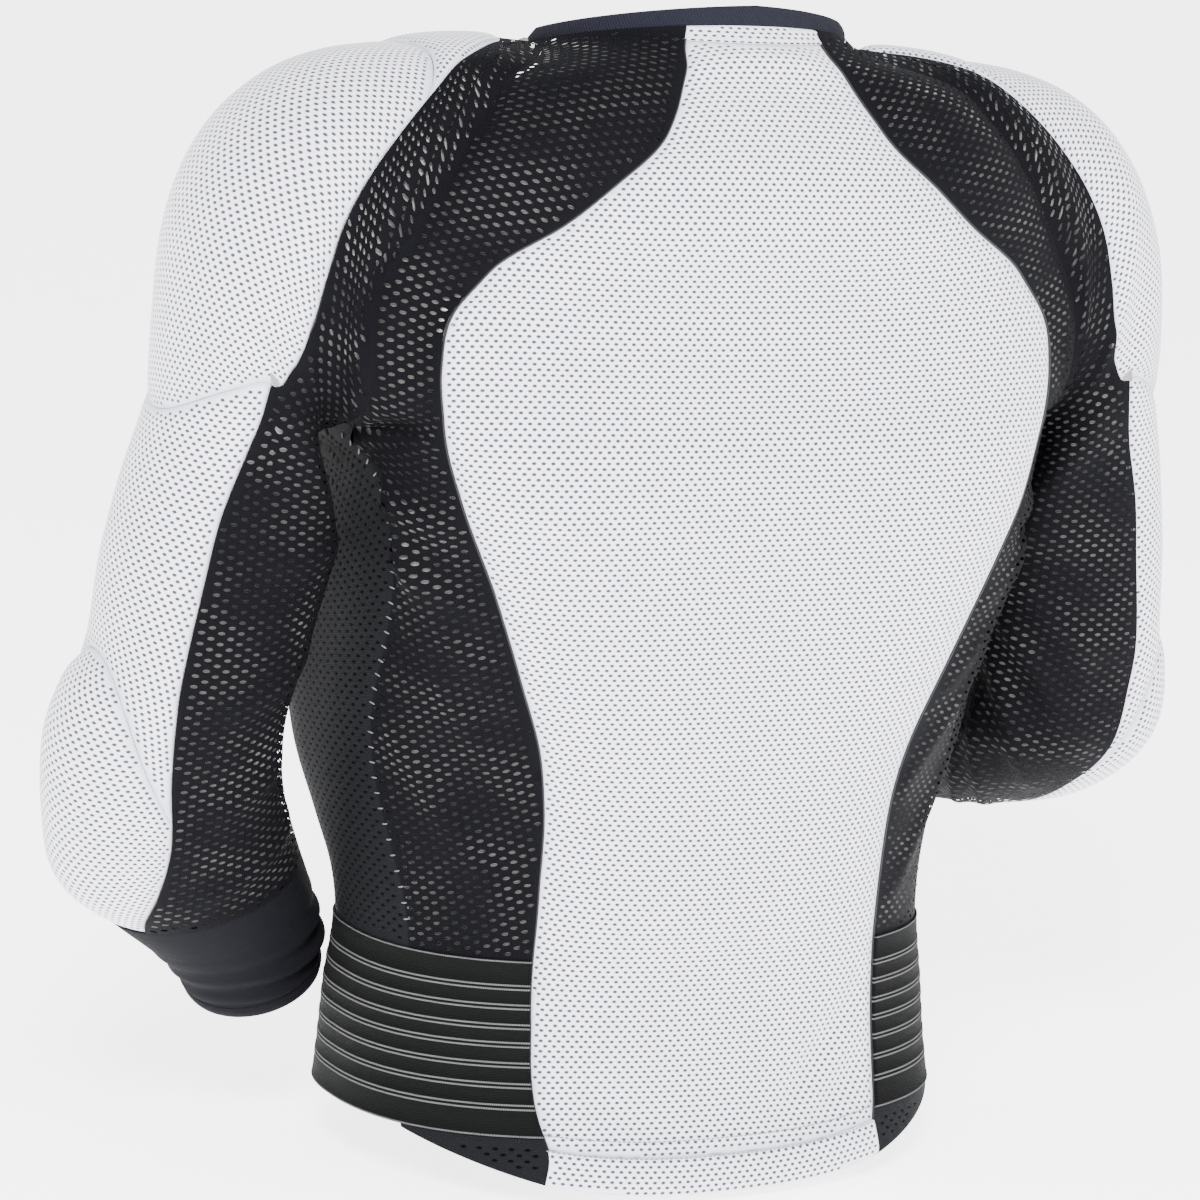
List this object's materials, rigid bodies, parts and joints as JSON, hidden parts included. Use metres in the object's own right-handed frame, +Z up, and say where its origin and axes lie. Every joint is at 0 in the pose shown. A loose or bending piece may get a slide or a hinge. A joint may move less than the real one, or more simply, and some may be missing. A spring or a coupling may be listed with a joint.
{
  "type": "padded body armour jacket",
  "caption": "Long-sleeved net undershirt with a wide back pad, shoulder, arm and elbow pads, and an elastic waist belt, held in its worn shape.",
  "frame": {"origin": "middle of the back neck seam, where the collar meets the back pad", "axes": "+Z up, the front faces -Y, the wearer's left is +X; the sleeves reach farthest along X"},
  "size_m": [0.7186, 0.3388, 0.6591],
  "materials": {
    "grey_mesh": "pale grey spacer mesh over foam",
    "black_net": "open black net",
    "black_mesh": "double black mesh",
    "black_knit": "black knit",
    "black_elastic": "woven elastic with pale stripes"
  },
  "bodies": {
    "root": {"back_pad": "grey_mesh", "back_hem": "grey_mesh", "neck_strip": "grey_mesh", "collar": "black_elastic", "front_placket": "black_elastic", "belt_tab": "black_elastic", "back_net_left": "black_net", "front_net_left": "black_mesh", "belt_left": "black_elastic", "hem_net_left": "black_net", "sleeve_net_left": "black_net", "shoulder_top_left": "grey_mesh", "shoulder_cap_left": "grey_mesh", "arm_pad_left": "grey_mesh", "elbow_pad_left": "grey_mesh", "forearm_left": "black_knit", "cuff_left": "black_knit", "back_net_right": "black_net", "front_net_right": "black_mesh", "belt_right": "black_elastic", "hem_net_right": "black_net", "sleeve_net_right": "black_net", "shoulder_top_right": "grey_mesh", "shoulder_cap_right": "grey_mesh", "arm_pad_right": "grey_mesh", "elbow_pad_right": "grey_mesh", "forearm_right": "black_knit", "cuff_right": "black_knit"}
  },
  "joints": []
}
